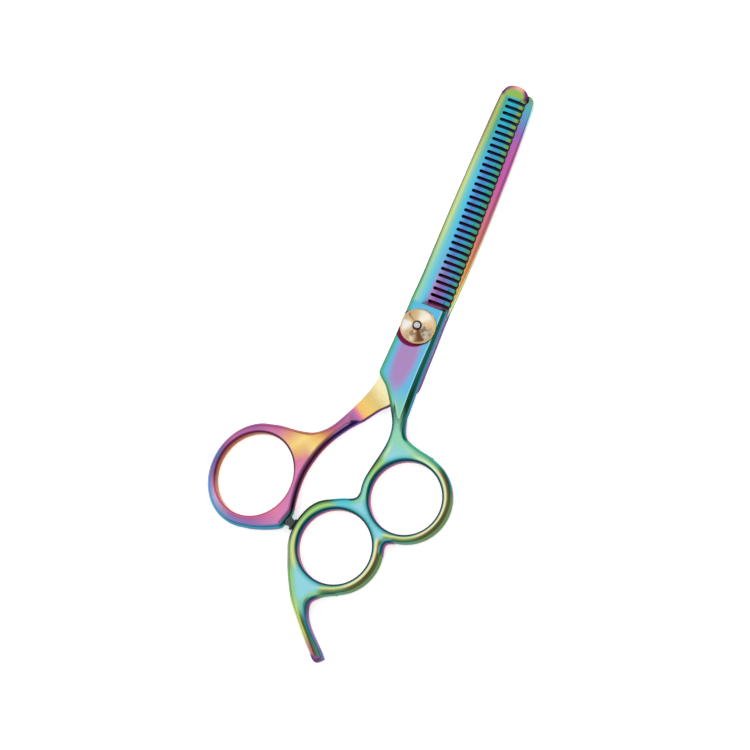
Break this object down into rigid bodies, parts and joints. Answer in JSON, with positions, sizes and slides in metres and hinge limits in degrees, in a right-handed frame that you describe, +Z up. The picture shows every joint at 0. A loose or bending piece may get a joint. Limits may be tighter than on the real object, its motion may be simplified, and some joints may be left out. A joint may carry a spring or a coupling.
{
  "type": "thinning shears",
  "caption": "Closed thinning shears with a toothed and a plain blade, finger and thumb rings, a curved finger rest, a domed tension knob and a rubber bumper",
  "frame": {"origin": "On the pivot axis, in the plane the closed shears rest on, at the middle of the rear bush's back face", "axes": "+Y from the pivot to the blade tips, +X towards the finger rings, +Z up towards the tension knob"},
  "size_m": [0.0693, 0.1729, 0.0096],
  "materials": {
    "rainbow_steel_comb": "mirror polished steel, rainbow titanium coating, mostly cyan",
    "rainbow_steel_plain": "mirror polished steel, rainbow titanium coating, mostly magenta and gold",
    "pale_gold": "polished",
    "bright_steel": "polished",
    "screw_steel": "turned",
    "spring_steel": "satin",
    "black_nylon": "satin",
    "bronze": "plain",
    "white_ptfe": "matte",
    "dark_rubber": "matte"
  },
  "bodies": {
    "plain_body": {"plain_half": "rainbow_steel_plain", "rear_bush": "screw_steel", "glide_washer": "white_ptfe", "bumper": "dark_rubber"},
    "comb_body": {"comb_half": "rainbow_steel_comb", "pivot_sleeve": "bronze", "click_washer": "black_nylon", "wave_washer": "spring_steel"},
    "knob_body": {"tension_knob": "pale_gold", "knob_stud": "bright_steel", "pivot_screw": "screw_steel"}
  },
  "joints": [
    {"name": "blade_pivot", "type": "hinge", "parent": "plain_body", "child": "comb_body", "pos_m": [0, 0, 0.00305], "axis": [0, 0, 1], "range_deg": [0, 90]},
    {"name": "tension_adjust", "type": "hinge", "parent": "comb_body", "child": "knob_body", "pos_m": [0, 0, 0.0068], "axis": [0, 0, 1], "range_deg": [-90, 90]}
  ]
}
